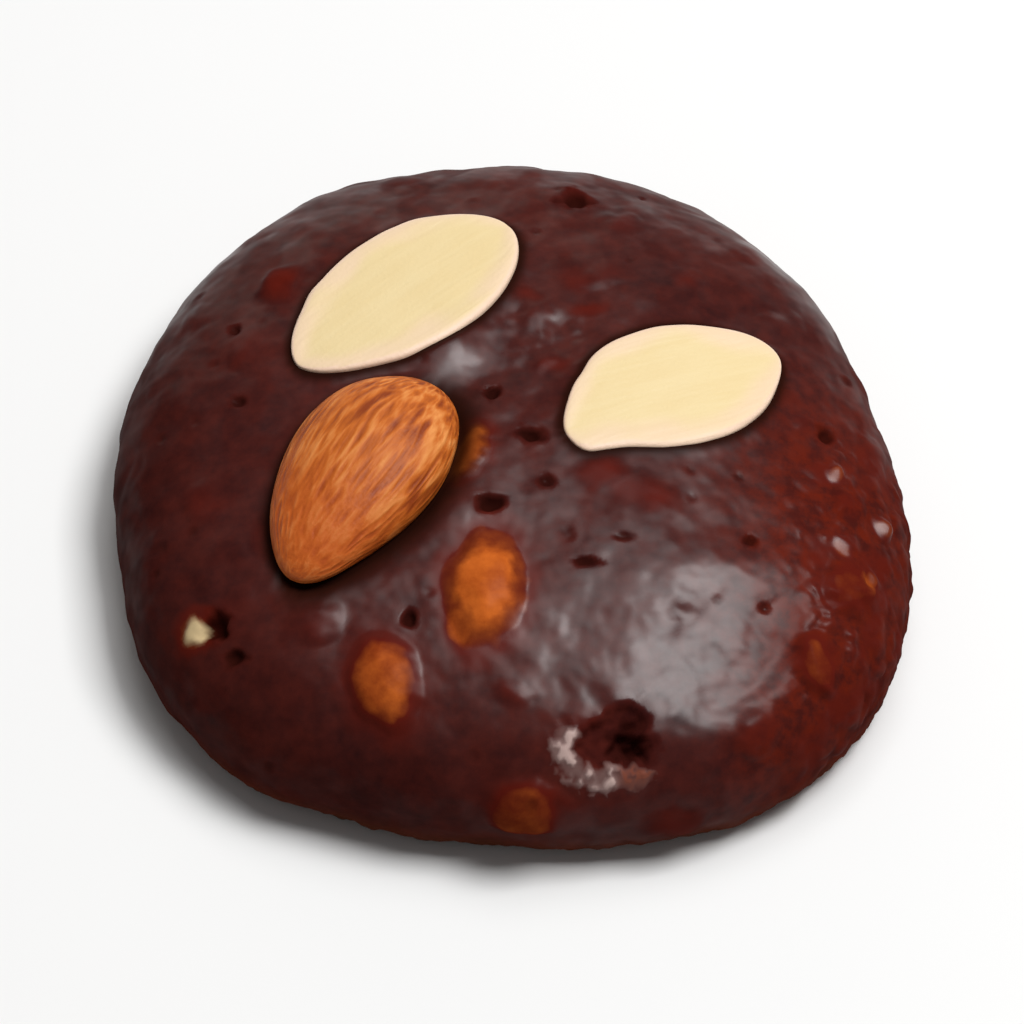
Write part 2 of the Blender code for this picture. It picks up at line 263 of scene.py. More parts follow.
beds = {name: outline_distance(kernel, skin) for name, kernel in KERNELS.items()}
nearest_almond = np.min([distance for distance, _ in beds.values()], axis=0)
for name, (distance, _) in beds.items():
    print(name, "covers", int((distance < 0).sum()), "points")

# %% [markdown]
# ## Dough and chopped nuts
#
# The dough rises in low swells, and chopped nuts push the glaze up into soft lumps. Each nut is a patch
# on the skin where a stretched ball would break through, and noise bends its outline so that it reads as
# a broken piece. A high nut shows orange-brown and tints the glaze round it, and a deep one is a soft red
# patch with no clear edge. The nuts that the eye notices are placed one by one. The rest follow the same
# seeded rule as the CAD solid.

# %% Swells of the dough
SWELL_SIZE, SWELL_RISE = 11, 0.45
CRAG_SIZE, CRAG_RISE = 3.2, 0.22


def smooth_noise(places):
    return np.array([noise.noise(Vector(place)) for place in places])


def jitter(size, seed=0.0):
    """Smooth noise from -1 to 1 over the skin, with bumps of this size in mm."""
    return smooth_noise(skin / (size * MM) + seed)


def ease(low, high, value):
    """0 below low and 1 above high, with a smooth step between. Low may be the larger."""
    share = np.clip((value - low) / (high - low), 0, 1)
    return share * share * (3 - 2 * share)


lowness = 1 - skin[:, 2] / HEIGHT
open_skin = ease(0.2, 3.0, nearest_almond)  # 0 at the almonds, where the skin stays level
lift += SWELL_RISE * jitter(SWELL_SIZE) * (0.35 + 0.65 * open_skin)
lift += CRAG_RISE * (0.25 + lowness) * jitter(CRAG_SIZE) * open_skin
print("the dough's swells reach from", round(lift.min(), 2), "to", round(lift.max(), 2), "mm")

# %% Nuts that the eye notices
# Place from above, length, width, heading in degrees, rise, and how strongly its colour shows.
NUTS_SEEN = (
    (-2.0, -16.7, 11.4, 7.2, 84, 1.30, 1.00),
    (-10.5, -24.7, 9.4, 6.8, 100, 1.05, 0.66),
    (-3.4, -3.6, 6.2, 3.6, 62, 0.60, 0.95),
    (-16.3, -19.2, 6.0, 4.6, 20, 0.45, 0.11),
    (-19.8, 16.6, 5.6, 4.4, 70, 0.40, 0.27),
    (7.9, -5.7, 6.2, 4.2, 10, 0.10, 0.20),
    (12.1, -7.9, 5.6, 4.0, -20, 0.10, 0.18),
    (1.3, -33.6, 8.6, 6.0, 0, 0.95, 0.38),
    (29.0, -14.0, 6.6, 5.0, 60, 0.80, 0.46),
    (25.8, -21.8, 6.4, 5.0, 110, 0.80, 0.45),
)
# Crumbs of nut that hardly lift the glaze, in the same terms.
NUT_CRUMBS = (
    (3.6, 5.9, 3.8, 2.2, 10, 0.05, 0.16),
    (5.9, 15.6, 4.8, 3.6, 140, 0.05, 0.13),
    (6.6, 11.9, 4.6, 1.9, 15, 0.0, 0.20),
    (1.8, 13.6, 3.4, 2.0, -20, 0.0, 0.15),
    (-21.0, -10.5, 4.2, 2.6, 80, 0.05, 0.10),
    (9.9, -7.2, 6.5, 3.4, 160, 0.0, 0.15),
    (-4.3, -20.2, 4.6, 3.2, 105, 0.0, 0.62),
)
print(len(NUTS_SEEN), "nuts and", len(NUT_CRUMBS), "crumbs placed one by one")

# %% Scattered nuts
NUTS_SCATTERED = 40
SCATTER_SEED = 4
NUT_LENGTHS = (3.8, 7.6)
NUT_SLIMNESS = (0.62, 0.88)
NUT_SHARE_RISE = 0.06
SCATTER_REACH = (0.16, 0.93)
NUT_SPACING = 1.15
NUT_FREE = (12.5, -17.5, 9.0)  # the smooth ground of the broad sheen: place and radius
KERNEL_ROOM = 0.42  # share of an almond's length that scattered nuts keep clear of


def scattered_nuts():
    draw = random.Random(SCATTER_SEED)
    shade = random.Random(SCATTER_SEED + 1)
    golden_angle = math.pi * (3 - math.sqrt(5))
    inmost, outmost = SCATTER_REACH
    kept = [(x, y, NUT_SPACING * length / 2) for x, y, length, *_ in NUTS_SEEN]
    kept += [(*kernel["place"], KERNEL_ROOM * kernel["length"]) for kernel in KERNELS.values()]
    kept.append(NUT_FREE)
    tries, nuts = NUTS_SCATTERED * 3, []
    for index in range(tries):
        spread = math.sqrt((index + 0.5) / tries)
        far = inmost + (outmost - inmost) * spread
        round_to = index * golden_angle + draw.uniform(-0.25, 0.25)
        length = draw.uniform(*NUT_LENGTHS)
        width = length * draw.uniform(*NUT_SLIMNESS)
        heading = draw.uniform(0, 180)
        point, normal = (Vector(found) for found in bare_skin(np.array(far), np.array(round_to)))
        x, y = point.x / MM, point.y / MM
        room = NUT_SPACING * length / 2
        clear = all(math.hypot(x - a, y - b) > taken + room for a, b, taken in kept)
        if clear and len(nuts) < NUTS_SCATTERED:
            kept.append((x, y, room))
            to_the_right = float(ease(-12, 24, x) * ease(20, 0, y))
            rise = NUT_SHARE_RISE * length * (0.6 + 0.6 * to_the_right)
            strength = shade.uniform(0.0, 0.10 + 0.16 * to_the_right)
            nuts.append((point, normal, length, width, heading, rise, strength))
    return nuts


all_nuts = [(*seat(x, y), *size) for x, y, *size in (*NUTS_SEEN, *NUT_CRUMBS)] + scattered_nuts()
print(len(all_nuts), "chopped nuts in all")

# %% Lumps and colour over the nuts
NUT_SOFTNESS = 1.2
NUT_WHOLE = 9.0  # longer pieces are nearly whole nuts, with a smoother outline
NUT_BEND, NUT_FRAY = 0.18, 0.18  # how far noise shifts an outline: a share of the width, and mm
NUT_CLEAR = 0.3  # nuts that show more than this have a clear edge
NUT_TINT = 0.42  # how strongly a nut colours the glaze round it

nut_show, nut_dull, nut_lift = np.zeros((3, len(skin)))
bent = np.stack([jitter(2.6, seed) for seed in (5.0, 15.0, 25.0)], -1)
frayed = np.stack([jitter(0.9, seed) for seed in (35.0, 45.0, 55.0)], -1)
for centre, normal, length, width, heading, rise, strength in all_nuts:
    along, across = tangents(normal, heading)
    broken = 0.5 if length > NUT_WHOLE else 1.0
    off = (skin - np.array(centre)) / MM + broken * (NUT_BEND * width * bent + NUT_FRAY * frayed)
    ways = (along, length), (across, width), (normal, width)
    distance = sum((off @ np.array(way) / (size / 2)) ** 2 for way, size in ways)
    nut_lift = np.maximum(nut_lift, rise * np.clip(1 - distance, 0, 1) ** NUT_SOFTNESS)
    frayed_distance = np.sqrt(distance) + 0.10 * frayed[:, 0]
    inmost = 0.4 if strength > NUT_CLEAR else 0.1
    tint = NUT_TINT * strength * ease(1.5, 0.7, frayed_distance)
    nut_show = np.maximum(nut_show, strength * np.maximum(ease(1.05, inmost, frayed_distance), tint))
    nut_dull = np.maximum(nut_dull, min(4.0 * strength, 1) * ease(1.2, 0.6, np.sqrt(distance)))
lift += nut_lift * ease(-0.5, 0.8, nearest_almond)
print("highest nut:", round(float(nut_lift.max()), 2), "mm")

# %% [markdown]
# ## A rough flank and a flat pool
#
# On the right the nut grit lies close under the coat, so the flank is bumpy and its grains show
# red-brown. Voronoi cells give such close-packed grains, each with its own height. In front of the flank
# the glaze has run into a shallow pool and set flat. A flat patch mirrors the whole light box at once,
# and its outer edge ends that sheen in a clear line. A few grains share the pool's tilt, so they catch
# the same light as small glints.

# %% Grit on the flank
GRAIN_SIZE, GRAIN_RISE = 1.9, 0.34
GRAIN_BEND, GRAIN_FRAY = 1.1, 0.5  # how far noise shifts the grains' edges, in mm
DRAW_SPREAD = 7.3  # sets grains far enough apart to draw different numbers

x_mm, y_mm = skin[:, 0] / MM, skin[:, 1] / MM
flank = ease(21, 27, x_mm) * ease(8, -3, y_mm)
folded = skin / MM + GRAIN_BEND * bent + GRAIN_FRAY * frayed
nearest_grain = [noise.voronoi(Vector(place)) for place in folded / GRAIN_SIZE]
from_middle = np.array([gaps[0] for gaps, _ in nearest_grain])
grain_draw = 0.5 + 0.5 * np.array([noise.cell(middles[0] * DRAW_SPREAD) for _, middles in nearest_grain])
grains = ease(0.75, 0.15, from_middle) * (0.35 + 0.65 * grain_draw) * flank
lift += GRAIN_RISE * grains
thin_coat = ease(-0.05, 0.5, jitter(3.2, 31.0) + 0.4 * jitter(1.2, 33.0))
high_grain = ease(0.7, 0.3, from_middle) * ease(0.7, 0.95, grain_draw)
grain_show = 0.03 + 0.15 * thin_coat + 0.12 * high_grain
nut_show = np.maximum(nut_show * (1 - 0.35 * flank * (1 - thin_coat)), grain_show * flank)
print("grit covers", int((flank > 0.5).sum()), "points")

# %% Pool
POOL_PLACE = (16.6, -21.6)
POOL_NORMAL = Vector((0.235, -0.300, 0.925))
POOL_HEADING = -50  # down the slope
POOL_DOWN, POOL_UP, POOL_RIGHT, POOL_LEFT = 6.08, 7.04, 8.64, 8.96
POOL_SINK = 0.35
POOL_RIPPLE = 0.12
POOL_DEEPEST = 3.0


def offsets(x, y):
    """The skin's points measured from its point over a place seen from above, in mm."""
    return (skin - np.array(seat(x, y)[0])) / MM


def facet(place):
    """Offsets from a place, and the lift that tilts the skin there like the pool, in mm."""
    off = offsets(*place)
    return off, -(off @ np.array(POOL_NORMAL)) / (skin_normals @ np.array(POOL_NORMAL))


off, to_plane = facet(POOL_PLACE)
to_plane -= POOL_SINK
pool_along, pool_across = tangents(POOL_NORMAL, POOL_HEADING)
down, rightward = off @ np.array(pool_along), -(off @ np.array(pool_across))
down_reach = np.where(down > 0, POOL_DOWN, POOL_UP)
side_reach = np.where(rightward > 0, POOL_RIGHT, POOL_LEFT)
pool_gap = np.hypot(down / down_reach, rightward / side_reach) + 0.07 * bent[:, 0]
softness = np.where(down > 0, 0.20 + 0.15 * ease(1, 6, rightward), 0.55)
pool = ease(1.0 + softness, 1.0 - softness, pool_gap) * (np.abs(to_plane) < POOL_DEEPEST)
lift = lift * (1 - pool) + (to_plane + POOL_RIPPLE * jitter(5.0, 39.0)) * pool
nut_show *= 1 - pool
print("the pool fills up to", round(float((to_plane * pool).max()), 2), "mm")

# %% Glints
GLINTS = ((28.1, -11.0), (30.4, -12.7), (27.8, -3.1), (31.8, -7.2))
GLINT_REACH, GLINT_SHOW = 0.9, 0.36

glint = np.zeros(len(skin))
for place in GLINTS:
    off, to_facet = facet(place)
    here = ease(1.5, 0.5, np.linalg.norm(off + 0.5 * bent, axis=1) / GLINT_REACH)
    lift = lift * (1 - here) + (to_facet + GRAIN_RISE) * here
    glint = np.maximum(glint, here)
nut_show = np.maximum(nut_show, GLINT_SHOW * glint)
print(len(GLINTS), "grains catch the light")

# %% [markdown]
# ## Holes
#
# Air in the dough leaves pits in the glaze. Most are pin-pricks, and some are a millimetre or two wide. A
# hole is a patch pushed inwards, with noise on its outline so that none is a neat circle, and its dark
# inside is painted shade.

# %% Holes and pin-pricks
# the darkness of each hole is painted shade inside it
HOLES = (  # place from above, radius, depth, darkness, and how many times wider than high
    (-1.7, -8.9, 0.85, 0.8, 1.0, 1.2),
    (-1.5, 2.8, 0.7, 0.6, 0.9, 1.0),
    (1.9, -1.8, 0.8, 0.7, 1.0, 1.2),
    (3.1, -6.5, 0.6, 0.45, 0.7, 1.2),
    (6.3, -14.5, 0.42, 0.3, 0.8, 2.4),
    (14.3, -18.7, 0.9, 0.12, 0.12, 1.2),
    (20.4, -11.3, 0.55, 0.4, 0.8, 1.1),
    (-8.4, -19.3, 0.8, 0.7, 0.9, 0.8),
    (-23.3, 3.5, 0.6, 0.35, 0.7, 1.0),
    (-25.0, -18.3, 1.1, 1.1, 1.0, 1.0),
    (-23.2, -21.1, 0.8, 0.6, 0.9, 1.2),
    (5.8, 26.3, 1.1, 0.8, 0.9, 1.2),
    (-23.8, 11.7, 0.6, 0.4, 0.7, 1.0),
    (27.2, 1.1, 0.8, 0.6, 0.8, 1.0),
    (9.5, -12.0, 0.4, 0.2, 0.6, 2.0),
    (21.5, -17.5, 0.45, 0.25, 0.4, 1.0),
)
PINPRICKS = 70
PINPRICK_SEED = 21


def pinpricks():
    draw = random.Random(PINPRICK_SEED)
    for _ in range(PINPRICKS):
        far, round_to = math.sqrt(draw.uniform(0.004, 0.98)), draw.uniform(0, 2 * math.pi)
        point, _ = bare_skin(np.array(far), np.array(round_to))
        yield point, draw.uniform(0.35, 0.6), draw.uniform(0.04, 0.14), draw.uniform(0.0, 0.4), 1.0


hole_painted_shade, rim_mask, sink = np.zeros((3, len(skin)))
uneven = jitter(1.3, 40.0) + 0.5 * jitter(0.6, 42.0)
placed = [(np.array(seat(x, y)[0]), *size) for x, y, *size in HOLES]
for centre, radius, depth, hole_shade_amount, wider in [*placed, *pinpricks()]:
    off = (skin - centre) / MM / radius / np.array([wider, 1, 1])
    gap = np.linalg.norm(off, axis=1) * (1 + 0.45 * uneven)
    sink = np.maximum(sink, depth * ease(1.25, 0.2, gap))
    # painted shade inside the hole
    hole_painted_shade = np.maximum(hole_painted_shade, hole_shade_amount * ease(1.3, 0.6, gap))
    rim_mask = np.maximum(rim_mask, min(hole_shade_amount * 1.3, 1) * ease(1.7, 1.1, gap))
print(len(HOLES), "holes and", PINPRICKS, "pin-pricks")

# %% [markdown]
# ## The torn opening
#
# On the front the glaze has torn open over a hollow. The opening is a few overlapping rounds whose edge
# is shifted by noise. It is shallow at the upper left and drops into a deep pit at the lower right, which
# painted shade makes nearly black. On its left and lower edge the crust stands up and has crumbled. Its
# pale crumb colour carries a painted highlight, so it is the lightest part of the glaze, and the right end
# of that lip is a tan ledge. On the left of the cookie a bit of nut was cut through and shows its cream
# inside. All holes are pressed in last, as one depth.

# %% Torn opening
TORN_PLACE = (9.0, -29.6)
TORN_ROUNDS = ((-0.1, 0.1, 2.3), (1.3, -0.6, 1.8), (-1.6, -0.3, 1.8), (0.9, 1.4, 1.7))  # right, up, radius
TORN_PIT = (1.0, -0.6, 1.9)
TORN_DEPTH = 2.3
TORN_REACH = 7.0  # the opening ends within this

off = offsets(*TORN_PLACE)
right_of, up_of = (off @ np.array(way) for way in tangents(seat(*TORN_PLACE)[1], 0))
ragged = 0.55 * jitter(1.5, 60.0) + 0.35 * jitter(0.6, 62.0)
torn_gap = np.min([np.hypot(right_of - u, up_of - v) - r for u, v, r in TORN_ROUNDS], axis=0) + ragged
torn_gap[np.linalg.norm(off, axis=1) > TORN_REACH] = FAR
pit_right, pit_up, pit_radius = TORN_PIT
from_pit = np.hypot(right_of - pit_right, up_of - pit_up) + 0.5 * ragged
pit = ease(pit_radius + 0.5, 0.7, from_pit)
cavity = ease(0.2, -0.9, torn_gap) * (0.35 + 0.65 * pit)
sink = np.maximum(sink, TORN_DEPTH * cavity * (1 + 0.35 * jitter(0.9, 64.0)))
# painted shade inside the opening, darkest in the pit
hole_painted_shade = np.maximum(hole_painted_shade, ease(0.15, -0.5, torn_gap) * (0.10 + 0.50 * pit))
rim_mask = np.maximum(rim_mask, ease(0.7, 0.1, torn_gap))
print("the opening covers", int((torn_gap < 0).sum()), "points")

# %% Crumbled lip and tan ledge
LIP_RISE = 0.40
LIP_HEADING = -120  # from the opening to the middle of its lip, at the lower left

towards_edge = np.arctan2(up_of, right_of)
lip_side = ease(0.0, 0.4, np.cos(towards_edge - math.radians(LIP_HEADING)))
crumbled = ease(-0.2, 0.5, jitter(1.1, 66.0) + 0.6 * jitter(0.45, 68.0))
lip_width = 0.85 + 0.35 * ease(0.5, -2.5, right_of)
lip = lip_side * np.exp(-(((torn_gap - 0.8 * lip_width) / lip_width) ** 2)) * (0.35 + 0.65 * crumbled)
lift += LIP_RISE * lip
ledge = lip * ease(-0.6, 0.8, right_of)
print("the lip rises up to", round(float(LIP_RISE * lip.max()), 2), "mm")

# %% Cut bit of nut
SPECK_PLACE, SPECK_RADIUS = (-26.5, -18.2), 1.2
SPECK_RISE, SPECK_TINT = 0.3, 0.34

speck_gap = np.linalg.norm(offsets(*SPECK_PLACE), axis=1) / SPECK_RADIUS
speck = ease(1.1, 0.5, speck_gap * (1 + 0.35 * uneven))
lift += SPECK_RISE * speck
nut_show = np.maximum(nut_show, SPECK_TINT * ease(2.3, 0.9, speck_gap * (1 + 0.3 * uneven)))

away_from_almonds = ease(0.2, 0.9, nearest_almond)
lift -= sink * away_from_almonds
hole_painted_shade *= away_from_almonds
print("deepest hole:", round(float(sink.max()), 1), "mm")

# %% [markdown]
# ## Where glaze and almonds meet
#
# Between the almonds, and on a few places beside them, more glaze has gathered. It lies calmer and tilts
# the light its own way, and in one spot it crinkled as it dried. Wet glaze creeps up whatever lies flat
# in it, so the cut halves get a small fillet. The brown almond is high and round, and the glaze has
# sagged away from it into a gap round its foot. A band of painted shade runs round each almond, thin at
# the cut halves and wide in that gap. A little inside each outline, hidden by the almond, the skin drops
# into a bed that follows the underside, so that the two surfaces cross where the almond is steep.

# %% Gathered and crinkled glaze
GATHERED = (  # place from above, radius, rise, and slope towards the pool's heading
    (-4.0, 6.3, 3.2, 0.30, 0.48),
    (-4.0, -10.6, 2.6, 0.20, 0.20),
    (3.4, 10.4, 2.4, 0.10, 0.22),
    (8.5, -18.5, 5.0, 0.0, 0.11),
    (-15.2, -18.0, 3.0, 0.0, 0.20),
    (-1.5, -26.3, 4.5, 0.1, -0.07),
    (19.5, -8.5, 4.5, 0.0, 0.03),
)
CRINKLED = (3.2, 9.0, 6.5)  # place and radius

lift *= 1 - 0.75 * ease(1.4, 0.1, nearest_almond)
gathered = np.zeros(len(skin))
for x, y, radius, rise, slope in GATHERED:
    off = offsets(x, y)
    blob = np.exp(-((np.linalg.norm(off, axis=1) / radius) ** 2)) * ease(-0.5, 0.7, nearest_almond)
    gathered = np.maximum(gathered, blob)
    lift += (rise - slope * (off @ np.array(pool_along))) * blob
x, y, radius = CRINKLED
crinkle = ease(radius, 0.4 * radius, np.hypot(x_mm - x, y_mm - y)) * ease(0.0, 0.8, nearest_almond)
lift += crinkle * (0.22 * jitter(1.9, 95.0) + 0.06 * jitter(0.9, 97.0))
print("glaze has gathered in", len(GATHERED), "places")

# %% Beds and fillets
# the dark line is painted shade on the glaze round the almond
FILLETS = {  # left and right of the heading, in mm: rise of the glaze, and width of the dark line
    "almond_blanched_left": ((0.22, 0.65), (0.22, 0.80)),
    "almond_blanched_right": ((0.22, 0.80), (0.22, 0.65)),
    "almond_skinned": ((0.10, 0.90), (-0.80, 2.20)),
}
FILLET_REACH = 0.85
FILLET_END = 6.0
BED_GAP = 0.2

painted_almond_shade = np.zeros(len(skin))
for name, (distance, local) in beds.items():
    kernel = KERNELS[name]
    to_left = ease(-1.5, 1.5, local[:, 1])
    rise, shade_width = (right + (left - right) * to_left for left, right in zip(*FILLETS[name]))
    outside = np.maximum(distance, 0)
    lift += np.where(distance < FILLET_END, rise * np.exp(-outside / FILLET_REACH), 0)
    # painted shade in a band round the almond
    painted_almond_shade = np.maximum(painted_almond_shade, np.exp(-((outside / shade_width) ** 2.5)))
    share = np.clip(local[:, 0] / kernel["length"] + 0.5, 0, 1)
    spread = half_width(kernel, share)
    half = np.maximum(kernel["width"] / 2 * spread, 0.01)
    rounding = np.sqrt(np.clip(1 - ((local[:, 1] - lean(kernel, share)) / half) ** 2, 0, 1))
    bed = kernel["seat"] - kernel["below"] * spread * rounding
    inside = ease(-0.35, -0.8, distance)
    lift = lift * (1 - inside) + (bed - BED_GAP) * inside
print(len(beds), "almonds are bedded in the glaze")

# %% [markdown]
# ## Fine unevenness
#
# Dried glaze is never optically smooth. A little noise at a millimetre or two breaks up the highlight,
# and more of it roughens the foot, where the coat lies thin over crumbs.

# %% Finished skin
calm = ease(0.0, 0.6, nearest_almond)
lift += (0.075 * jitter(2.0, 60.0) + 0.03 * jitter(0.9, 70.0)) * calm
foot = ease(0.86, 1.0, reach)
lift += foot * (0.30 * jitter(1.5, 80.0) + 0.16 * jitter(0.7, 90.0))

surface = skin + skin_normals * lift[:, None] * MM
surface[:, 2] = np.maximum(surface[:, 2], 0)
rim = np.arange(len(surface) - 6 * SKIN_RINGS, len(surface))
surface[rim, 2] = 0
print("lift runs from", round(lift.min(), 2), "to", round(lift.max(), 2), "mm")

# %% [markdown]
# ## Where the coat keeps its gloss
#
# The glaze is dull on crumbs, rims and bare nuts, along the almonds and towards the foot, and it is
# mottled where it dried thin. A texture could paint that, but the mesh already knows where those places
# are. Each of them takes its share off one gloss mark, which the finish uses as the weight of its clear
# coat.

# %% Gloss mark
right_front = ease(15, 26, x_mm) * ease(14, -8, y_mm)
sideways = reach + 0.12 * ease(8, -14, x_mm)  # the left side dulls sooner
not_behind = ease(26, 8, y_mm)
# low marks where shade is painted on the lower front and sides; shaded dulls the coat there
low, shaded = (ease(start, end, sideways) * not_behind for start, end in ((0.62, 0.95), (0.52, 1.02)))
mottle = ease(-0.15, 0.35, jitter(3.4, 91.0) + 0.4 * jitter(1.4, 93.0))
gloss_losses = (  # where, and the share of the gloss that is lost there
    (nut_dull, 0.92),
    (rim_mask, 1.0),
    (painted_almond_shade, 0.95),
    (lip, 0.9),
    (speck, 0.9),
    (right_front * (1 - 0.35 * grains) * (1 - glint), 0.85),
    (shaded * (1 - glint) * (1 - 0.6 * gathered), 0.94),
    (mottle * ease(1.0, 2.2, pool_gap) * (1 - gathered), 0.5),
    (ease(22, 32, y_mm), 0.5),
)
gloss = np.prod([1 - share * where for where, share in gloss_losses], axis=0)
print("the coat keeps", round(100 * float(gloss.mean())), "percent of its gloss on average")

# %% [markdown]
# ## The glazed cookie
#
# The shifted points become one mesh with a flat face under it. The masks go with it as named values at
# its points, because a finish can read such values in any view.

# %% Cookie mesh
def add_object(name, data):
    made = bpy.data.objects.new(name, data)
    bpy.context.scene.collection.objects.link(made)
    return made


def new_piece(name, points, faces, marks):
    """A smooth-shaded mesh with named values at its points for its finish."""
    mesh = bpy.data.meshes.new(name)
    mesh.from_pydata(points.tolist(), [], faces)
    for mark, values in marks.items():
        mesh.attributes.new(mark, "FLOAT", "POINT").data.foreach_set("value", values.astype(np.float32))
    mesh.shade_smooth()
    return add_object(name, mesh)


# the marks for holes, for the band round the almonds and for the low front carry painted shade; the lip's
# carries a painted highlight
skin_marks = dict(
    nut=nut_show, hole=hole_painted_shade, foot=foot, lip=lip, ledge=ledge, speck=speck,
    flank=right_front, painted_almond_shade=painted_almond_shade, low=low, gloss=gloss,
)
skin_faces = [*ring_faces(SKIN_RINGS), tuple(rim[::-1].tolist())]
cookie = new_piece("glazed_cookie", surface, skin_faces, skin_marks)
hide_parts("cookie")
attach(cookie, "root")
print("glazed_cookie has", len(cookie.data.polygons), "faces")

# %% [markdown]
# ## Almonds
#
# A kernel is built as rings across its length: the upper half is rounded for the whole almond and nearly
# flat for a cut half, and the lower half is round in both. A cut half has a slightly dished face with a
# thin raised edge. The brown skin is wrinkled lengthwise, so its noise is stretched along the kernel and
# drawn together at the tips.

# %% Kernel meshes
def kernel_grid(kernel, rings, upper, lower):
    """Faces, and each point's share of the length, angle round it and half width."""
    over, under = np.linspace(0, math.pi, upper + 1), np.linspace(0, math.pi, lower + 1)
    angles = np.append(over, math.pi + under[1:-1])
    shares = (1 - np.cos(math.pi * np.arange(1, rings) / rings)) / 2
    share, angle = (grid.ravel() for grid in np.meshgrid(shares, angles, indexing="ij"))
    around = len(angles)
    end = 1 + len(shares) * around
    last = end - around
    pairs = [(i, (i + 1) % around) for i in range(around)]
    faces = [(0, 1 + j, 1 + i) for i, j in pairs]
    for start in range(1, last, around):
        faces += [(start + i, start + j, start + around + j, start + around + i) for i, j in pairs]
    faces += [(end, last + i, last + j) for i, j in pairs]
    return faces, share, angle, half_width(kernel, share)


def bowed(value, power):
    return np.sign(value) * np.abs(value) ** (2 / power)


def kernel_points(kernel, share, angle, half, outward=0.0, raised=0.0):
    """Outward widens the outline and raised lifts the surface, both in mm at each point."""
    upper = angle <= math.pi
    power = np.where(upper, kernel["edge"], 2.0)
    tall = np.where(upper, kernel["above"] * half ** (2 / kernel["edge"]), kernel["below"] * half)
    y = (kernel["width"] / 2 * half + outward) * bowed(np.cos(angle), power) + lean(kernel, share)
    z = tall * bowed(np.sin(angle), power) + raised - kernel["bend"] * (2 * share - 1) ** 2
    body = np.stack([kernel["length"] * (share - 0.5), y, z], -1)
    tips = [[kernel["length"] * (end - 0.5), lean(kernel, end), -kernel["bend"]] for end in (0, 1)]
    return np.concatenate([tips[:1], body, tips[1:]]) * MM


def with_tips(values, at_tips):
    return np.concatenate([[at_tips], values, [at_tips]])


def place_kernel(name, node, points, faces, marks):
    piece = new_piece(name, points, faces, marks)
    piece.matrix_world = kernel_matrix(KERNELS[node])
    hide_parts(node)
    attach(piece, "root")
    print(name, "has", len(piece.data.polygons), "faces")
    return piece


# %% Blanched halves
EDGE_FRAY = 0.06
FACE_LINES, FACE_SWELL = 0.022, 0.08
FACE_DISH = 0.14


def blanched_half(name, node, seed):
    kernel = KERNELS[node]
    faces, share, angle, half = kernel_grid(kernel, 150, 130, 50)
    x, seeds = kernel["length"] * (share - 0.5), np.full(len(share), seed)
    side = np.where(np.cos(angle) >= 0, 1, -1)
    fray = smooth_noise(np.stack([x / 2.2, side * 3.0, seeds], -1))
    inset = 1 - np.abs(bowed(np.cos(angle), kernel["edge"]))  # 0 at the edge, 1 on the middle line
    from_edge = inset * kernel["width"] / 2 * half
    on_face = (angle <= math.pi) & (np.sin(angle) > 0.35)
    places = np.stack([x / 9, kernel["width"] / 2 * half * np.cos(angle) / 0.6, seeds], -1)
    lines, broad = smooth_noise(places), smooth_noise(places / np.array([0.5, 6.0, 1.0]))
    relief = (FACE_LINES * lines + FACE_SWELL * broad) * ease(0.0, 0.8, from_edge)
    raised = np.where(on_face, relief - FACE_DISH * ease(0.4, 2.6, from_edge), 0)
    points = kernel_points(kernel, share, angle, half, bulge(kernel, share, side) + EDGE_FRAY * fray, raised)
    near_edge = 0.6 * ease(3.0, 0.4, from_edge + 1.8 * broad)
    edge = np.where(on_face, np.maximum(ease(0.95, 0.2, from_edge + 0.25 * lines), near_edge), 1.0)
    return place_kernel(name, node, points, faces, {"edge": with_tips(edge, 1.0)})


left_half = blanched_half("blanched_half_left", "almond_blanched_left", 3.0)
right_half = blanched_half("blanched_half_right", "almond_blanched_right", 8.0)

# %% Almond in its brown skin
WRINKLE_SPACING = 0.70
WRINKLE_LENGTH = 4.5
WRINKLE_DEPTH = 0.09


def brown_almond():
    kernel = KERNELS["almond_skinned"]
    faces, share, angle, half = kernel_grid(kernel, 150, 210, 60)
    drawn_in = 0.35 + 0.65 * half
    y = kernel["width"] / 2 * drawn_in * np.cos(angle) / WRINKLE_SPACING
    z = kernel["above"] * 1.6 * drawn_in * np.sin(angle) / WRINKLE_SPACING
    x = kernel["length"] * share / WRINKLE_LENGTH
    wrinkle = smooth_noise(np.stack([y, z, x], -1))
    broad = smooth_noise(np.stack([y / 3.5, z / 3.5, x + 9], -1))
    height = (1 - np.abs(wrinkle) * 2.2) * 0.6 + 0.4 * broad
    push = WRINKLE_DEPTH * height * np.clip(half * 1.6, 0, 1)
    points = kernel_points(kernel, share, angle, half)
    outward = np.stack([np.zeros(len(share)), np.cos(angle), np.sin(angle)], -1)
    points[1:-1] += outward * push[:, None] * MM
    marks = {"wrinkle": with_tips(height, 0.0), "tip": with_tips(ease(0.6, 0.1, share), 1.0)}
    return place_kernel("brown_almond", "almond_skinned", points, faces, marks)


whole_almond = brown_almond()

# %% [markdown]
# ## Shared effects for the finishes
#
# Three effects come back in more than one finish: patches of darker and lighter tone, fine pits and grain
# that only tilt the light, and streaks that run along a kernel. Each is a node group with its sizes as
# inputs, so every material gives it its own values.

# %% Helpers for node groups
def feed(tree, target, socket, source):
    """Links a node's output into a socket, or sets its value."""
    if isinstance(source, bpy.types.NodeSocket):
        tree.links.new(source, target.inputs[socket])
    else:
        target.inputs[socket].default_value = source


def node(tree, kind, *sources, **values):
    """A node with these settings, fed with these sources in order."""
    made = tree.nodes.new(kind)
    for key, value in values.items():
        setattr(made, key, value)
    for socket, source in enumerate(sources):
        feed(tree, made, socket, source)
    return made


